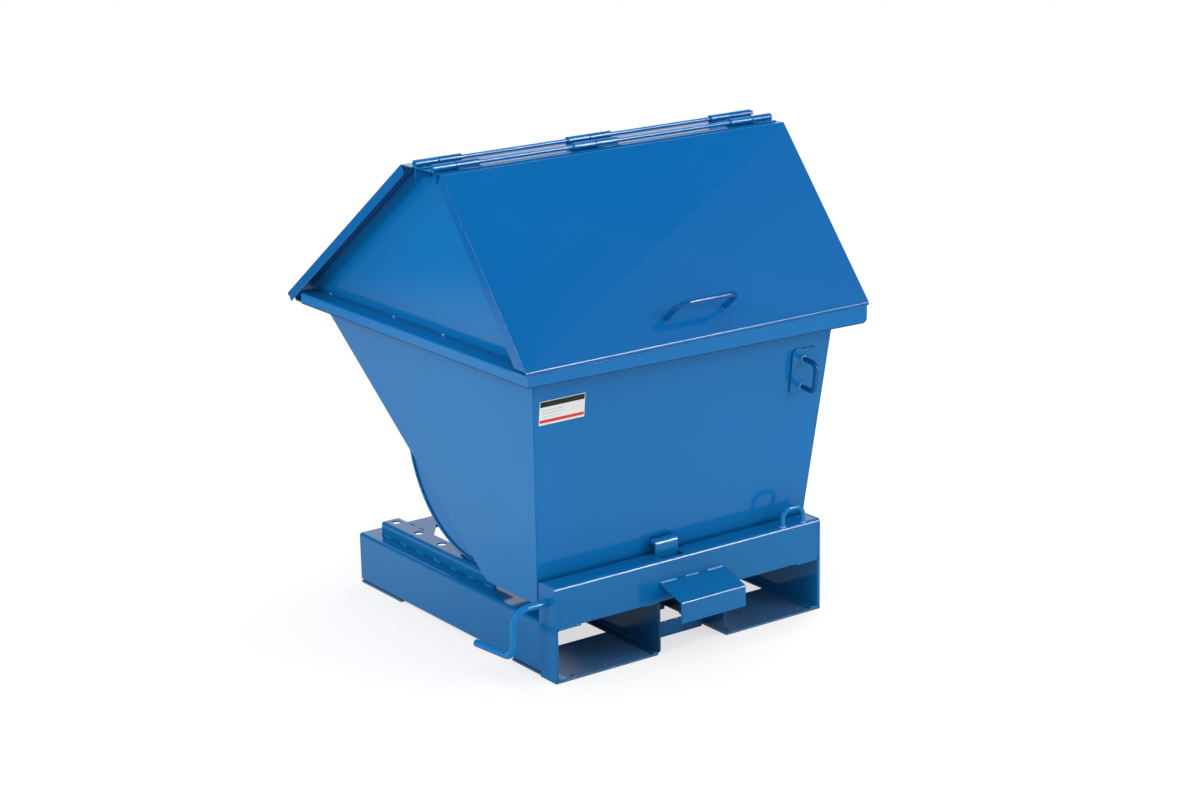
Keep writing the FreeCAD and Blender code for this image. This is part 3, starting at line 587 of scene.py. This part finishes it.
def lid_panel(word, way):
    """A lid leaf as folded sheet: flange, bend, cross-broken panel, lip and side skirts."""
    half, top = corner(word + "_lid")[1].xz
    edge, fold, foot = (y - FRAME_MIDDLE for y in LID_LINES[word][:3])
    foot_z = LID_LINES[word][3]
    run = abs(foot - fold)
    fall = top - foot_z
    long_side = math.hypot(run, fall)
    down = Vector((0, way * run / long_side, -fall / long_side))
    out = Vector((0, way * fall / long_side, run / long_side))
    tilt = math.atan2(fall, run)
    end = Vector((0, foot, foot_z))
    bm = bmesh.new()

    def strips(lines):
        """Faces from side to side between one (y, z) line and the next."""
        rows = [[bm.verts.new((x, y, z)) for x in (-half, half)] for y, z in lines]
        for first, second in zip(rows, rows[1:]):
            bm.faces.new((first[0], first[1], second[1], second[0]))
        return rows

    # The flange on the ridge and its bend down to the panel.
    reach = LID_FOLD_BEND * math.tan(tilt / 2)
    bend_start = fold - way * reach
    panel_top = Vector((0, fold, top)) + down * reach
    flange = strips([(edge, top), (bend_start, top)]
                    + bend_points(bend_start, top - LID_FOLD_BEND, way, LID_FOLD_BEND,
                                  math.pi / 2, math.pi / 2 - tilt)
                    + [(panel_top.y, panel_top.z)])
    # The lip: the panel's foot bent down to a short upright hem.
    lip_reach = LID_LIP_BEND * math.tan((math.pi / 2 - tilt) / 2)
    lip_start = end - down * lip_reach
    lip_centre = lip_start - out * LID_LIP_BEND
    lip = strips([(lip_start.y, lip_start.z)]
                 + bend_points(lip_centre.y, lip_centre.z, way, LID_LIP_BEND,
                               math.pi / 2 - tilt, 0)
                 + [(foot, foot_z - lip_reach), (foot, foot_z - LID_HEM)])
    # The panel, cross-broken: four facets that meet a little above the flat.
    upper, lower = flange[-1], lip[0]
    peak = bm.verts.new((panel_top + end) / 2 + out * LID_RISE)
    for a, b in ((upper[0], upper[1]), (upper[1], lower[1]), (lower[1], lower[0]),
                 (lower[0], upper[0])):
        bm.faces.new((a, b, peak))
    # The side skirts, square to the panel.
    skirt = out * LID_SKIRT[word]
    skirt_foot = end - skirt
    if word == "rear":
        skirt_foot = Vector((0, foot + 0.037 / math.sin(tilt), 0.785))
    for index, x in enumerate((-half, half)):
        side_line = [pair[index] for pair in flange[1:]] + [lower[index]]
        skirt_top = panel_top - skirt
        face = side_line + [bm.verts.new((x, skirt_foot.y, skirt_foot.z)),
                            bm.verts.new((x, skirt_top.y, skirt_top.z))]
        if index == 0:
            face.reverse()
        bm.faces.new(face)
    bmesh.ops.recalc_face_normals(bm, faces=bm.faces)
    if sum(f.normal.dot(out) for f in bm.faces if abs(f.normal.x) < 0.5) < 0:
        bmesh.ops.reverse_faces(bm, faces=bm.faces)
    for line in bm.edges:
        faces = line.link_faces
        flat = max(face.calc_area() for face in faces) > 0.01
        line.smooth = len(faces) == 2 and line.calc_face_angle() < 0.4 and not flat
    mesh = bpy.data.meshes.new(word + "_lid_sheet")
    bm.to_mesh(mesh)
    bm.free()
    for face in mesh.polygons:
        face.use_smooth = True
    item = finish_mesh(word + "_lid_sheet", mesh, word + "_lid", lid_paint)
    # The sheet's inner face takes the darker painted-shade paint.
    mesh.materials.append(shaded_under_paint)
    sheet = item.modifiers.new("sheet", "SOLIDIFY")
    sheet.thickness = 0.002
    sheet.offset = -1
    sheet.use_even_offset = True
    sheet.material_offset = 1
    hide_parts(word + "_lid")
    return end - down * HANDLE_FROM_LIP, out


grips = {word: lid_panel(word, way) for word, way in (("rear", -1), ("front", 1))}
for word, (grip, out) in grips.items():
    rings = [((x, grip.y, grip.z), out, HANDLE_BAR_RADIUS, 0.0038) for x in HANDLE_FEET]
    welds(word + "_handle_welds", word + "_lid", (), rings, lid_paint)

for word, way in (("rear", -1), ("front", 1)):
    hinge = joints[word + "_lid_hinge"]["pos_m"]
    fixed_y, lid_y = hinge[1] - way * LEAF_REACH, hinge[1] + way * LEAF_REACH
    z = hinge[2] - KNUCKLE_RADIUS + 0.002
    lid_lines = [((x + 0.005 + KNUCKLE_PITCH, lid_y, z),
                  (x + 0.057 + KNUCKLE_PITCH, lid_y, z), 0.0022)
                 for x in KNUCKLE_STARTS[word]]
    fixed_lines = [((x + 0.005, fixed_y, z), (x + 0.057, fixed_y, z), 0.0022)
                   for x in KNUCKLE_STARTS[word]]
    welds(word + "_knuckle_welds", word + "_lid", lid_lines,
          material=lid_paint)
    welds(word + "_fixed_knuckle_welds", "hopper", fixed_lines)


# ----------------------------------------------------------------------- label
def wall_patch(name, left, right, low, high, off, thick, material):
    """A thin printed patch on the label plate."""
    bm = bmesh.new()
    spots = ((left, low), (right, low), (right, high), (left, high))
    front, back = ([bm.verts.new(wall_point(x, z, depth)) for x, z in spots]
                   for depth in (off + thick, off))
    bm.faces.new(front)
    bm.faces.new(list(reversed(back)))
    for i in range(4):
        n = (i + 1) % 4
        bm.faces.new((front[i], back[i], back[n], front[n]))
    bmesh.ops.recalc_face_normals(bm, faces=bm.faces)
    mesh = bpy.data.meshes.new(name)
    bm.to_mesh(mesh)
    bm.free()
    finish_mesh(name, mesh, "hopper", material)


LABEL_FACE = 0.00062
LABEL_MARGIN = 0.0015
LABEL_RULES = ((0.012, 0.060), (0.008, 0.070), (0.008, 0.066))
label_low, label_high = corner("label_plate")
left, right = label_low.x + LABEL_MARGIN, label_high.x - LABEL_MARGIN
wall_patch("label_top_band", left, right, label_high.z - 0.0145,
           label_high.z - LABEL_MARGIN, LABEL_FACE, 0.00012, label_black)
wall_patch("label_foot_band", left, right, label_low.z + 0.005, label_low.z + 0.0125,
           LABEL_FACE, 0.00012, label_red)
for i, (start, stop) in enumerate(LABEL_RULES):
    z = label_low.z + 0.020 + i * 0.0072
    wall_patch("label_rule_%d" % i, label_low.x + start, label_low.x + stop, z, z + 0.001,
               LABEL_FACE, 0.0001, label_grey)

# ----------------------------------------------------------------------- stage
# Pale pools on the mirrored floor, beside the left side sheet and behind the rear wall:
# centre, inner and outer radius, and brightness.
FLOOR_POOLS = (((-1.40, 1.35, 0), 1.1, 2.2, 0.60), ((0.95, -2.00, 0), 1.3, 2.3, 0.46))


def add_up(tree, first, second):
    added = node(tree, "ShaderNodeMath", operation="ADD")
    link(tree, first, 0, added, 0)
    link(tree, second, 0, added, 1)
    return added


def floor_pool(tree, coords, centre, near, far, level):
    """Brightness of one round pool that fades out between two radii."""
    spot = node(tree, "ShaderNodeVectorMath", operation="DISTANCE")
    link(tree, coords, "Object", spot, 0)
    spot.inputs[1].default_value = centre
    fade = node(tree, "ShaderNodeMapRange")
    fade.inputs["From Min"].default_value = near
    fade.inputs["From Max"].default_value = far
    fade.inputs["To Min"].default_value = level
    fade.inputs["To Max"].default_value = 0.03
    link(tree, spot, "Value", fade, "Value")
    return fade


def floor_material():
    """A matt pale floor. Seen directly it glows a little, so that shadows stay soft; in
    a mirror it is dark but for two pools."""
    mat, tree = new_material("pale_floor")
    path = tree.nodes.new("ShaderNodeLightPath")
    coords = tree.nodes.new("ShaderNodeTexCoord")
    speck = noise(tree, coords, 3.0, 2.0, 0.5)
    tone = mix(tree, (speck, 0), (0.80, 0.80, 0.80, 1), (0.82, 0.82, 0.82, 1))
    matt = node(tree, "ShaderNodeBsdfDiffuse")
    tree.links.new(tone[0].outputs[2], matt.inputs["Color"])

    shown_glow = node(tree, "ShaderNodeEmission", Strength=0.66)
    pale = node(tree, "ShaderNodeBsdfDiffuse")
    pale.inputs["Color"].default_value = (0.36, 0.36, 0.36, 1)
    shown = tree.nodes.new("ShaderNodeAddShader")
    link(tree, shown_glow, 0, shown, 0)
    link(tree, pale, 0, shown, 1)
    choose_shown = tree.nodes.new("ShaderNodeMixShader")
    link(tree, path, "Is Camera Ray", choose_shown, 0)
    link(tree, matt, 0, choose_shown, 1)
    link(tree, shown, 0, choose_shown, 2)

    mirrored = node(tree, "ShaderNodeEmission")
    mirrored.inputs["Color"].default_value = (0.93, 1.06, 0.97, 1)
    pools = [floor_pool(tree, coords, *pool) for pool in FLOOR_POOLS]
    link(tree, add_up(tree, *pools), 0, mirrored, "Strength")
    choose_mirrored = tree.nodes.new("ShaderNodeMixShader")
    link(tree, path, "Is Glossy Ray", choose_mirrored, 0)
    link(tree, choose_shown, 0, choose_mirrored, 1)
    link(tree, mirrored, 0, choose_mirrored, 2)
    out = tree.nodes.new("ShaderNodeOutputMaterial")
    link(tree, choose_mirrored, 0, out, "Surface")
    return mat


bm = bmesh.new()
bmesh.ops.create_grid(bm, x_segments=1, y_segments=1, size=60)
mesh = bpy.data.meshes.new("studio_floor")
bm.to_mesh(mesh)
bm.free()
mesh.materials.append(floor_material())
floor = bpy.data.objects.new("studio_floor", mesh)
scene.collection.objects.link(floor)


def studio_glow(tree, coords, aim, start, stop, level):
    """Brightness of the mirrored studio in a cone that fades from start to stop degrees."""
    toward = node(tree, "ShaderNodeVectorMath", operation="DOT_PRODUCT")
    link(tree, coords, "Generated", toward, 0)
    toward.inputs[1].default_value = Vector(aim).normalized()
    cone = node(tree, "ShaderNodeMapRange", interpolation_type="SMOOTHSTEP")
    cone.inputs["From Min"].default_value = math.cos(math.radians(start))
    cone.inputs["From Max"].default_value = math.cos(math.radians(stop))
    cone.inputs["To Max"].default_value = level
    link(tree, toward, "Value", cone, "Value")
    return cone


def studio_world():
    """An even pale studio; in a mirror a dark one with a white wall and two lamps."""
    world = bpy.data.worlds.new("studio")
    world.use_nodes = True
    tree = world.node_tree
    tree.nodes.clear()
    coords = tree.nodes.new("ShaderNodeTexCoord")
    path = tree.nodes.new("ShaderNodeLightPath")
    # Two lamps for the bends. They show in first reflections only, not again by way of
    # a second sheet.
    first_bounce = node(tree, "ShaderNodeMath", operation="LESS_THAN")
    first_bounce.inputs[1].default_value = 1.5
    link(tree, path, "Glossy Depth", first_bounce, 0)
    both_lamps = add_up(tree,
                        studio_glow(tree, coords, (0.60, -0.78, 0.17), 12, 7, 11.0),
                        studio_glow(tree, coords, (0.557, -0.717, 0.42), 5, 3, 45.0))
    lamps = node(tree, "ShaderNodeMath", operation="MULTIPLY")
    link(tree, both_lamps, 0, lamps, 0)
    link(tree, first_bounce, 0, lamps, 1)
    # A white wall for the level tops and a faint fill for the lid.
    white_wall = studio_glow(tree, coords, (0.56, 0.78, 0.24), 30, 16, 1.0)
    lid_fill = studio_glow(tree, coords, (0.68, -0.52, 0.51), 19, 8, 0.30)
    total = add_up(tree, add_up(tree, white_wall, lamps), lid_fill)
    mirrored = node(tree, "ShaderNodeMath", operation="ADD")
    mirrored.inputs[1].default_value = 0.03
    link(tree, total, 0, mirrored, 0)
    choose = mix(tree, (path, "Is Glossy Ray"), (0.92, 0.93, 0.94, 1), (mirrored, 0))
    seen = mix(tree, (path, "Is Camera Ray"), choose, (0.985, 0.985, 0.985, 1))
    background = tree.nodes.new("ShaderNodeBackground")
    tree.links.new(seen[0].outputs[2], background.inputs["Color"])
    out = tree.nodes.new("ShaderNodeOutputWorld")
    link(tree, background, 0, out, "Surface")
    return world


scene.world = studio_world()


def softbox(name, place, aim, size, energy, mirrored):
    light = bpy.data.lights.new(name, "AREA")
    light.shape = "RECTANGLE"
    light.size, light.size_y = size
    light.energy = energy
    item = bpy.data.objects.new(name, light)
    item.location = place
    item.rotation_euler = (Vector(aim) - Vector(place)).to_track_quat("-Z", "Y").to_euler()
    item.visible_glossy = mirrored
    scene.collection.objects.link(item)


softbox("key", (-4.4, -0.9, 2.9), (0, 0, 0.6), (1.2, 1.2), 62, True)
softbox("top", (2.3, 0.55, 4.0), (0, 0, 0.5), (2.0, 1.1), 40, False)
softbox("fill", (2.62, -3.77, 2.47), (0, -0.4, 0.5), (0.8, 0.8), 36, False)

# ---------------------------------------------------------------------- camera
CAMERA_PLACE = Vector((-3.657, -5.2072 - FRAME_MIDDLE, 2.3704))
azimuth, elevation, roll = (math.radians(angle) for angle in (-35.49, 16.26, -1.16))
back = Vector((math.sin(azimuth) * math.cos(elevation),
               -math.cos(azimuth) * math.cos(elevation), math.sin(elevation)))
right = (-back).cross(Vector((0, 0, 1))).normalized()
up = right.cross(-back)
turned_right = right * math.cos(roll) + up * math.sin(roll)
turned_up = -right * math.sin(roll) + up * math.cos(roll)
camera_data = bpy.data.cameras.new("camera")
camera_data.lens = 80.03
camera_data.sensor_width = 36.0
camera_data.clip_end = 200
camera = bpy.data.objects.new("camera", camera_data)
pose = Matrix((turned_right, turned_up, back)).transposed().to_4x4()
pose.translation = CAMERA_PLACE
camera.matrix_world = pose
scene.collection.objects.link(camera)
scene.camera = camera
scene.view_settings.view_transform = "Standard"
scene.view_settings.look = "None"

bpy.context.view_layer.update()
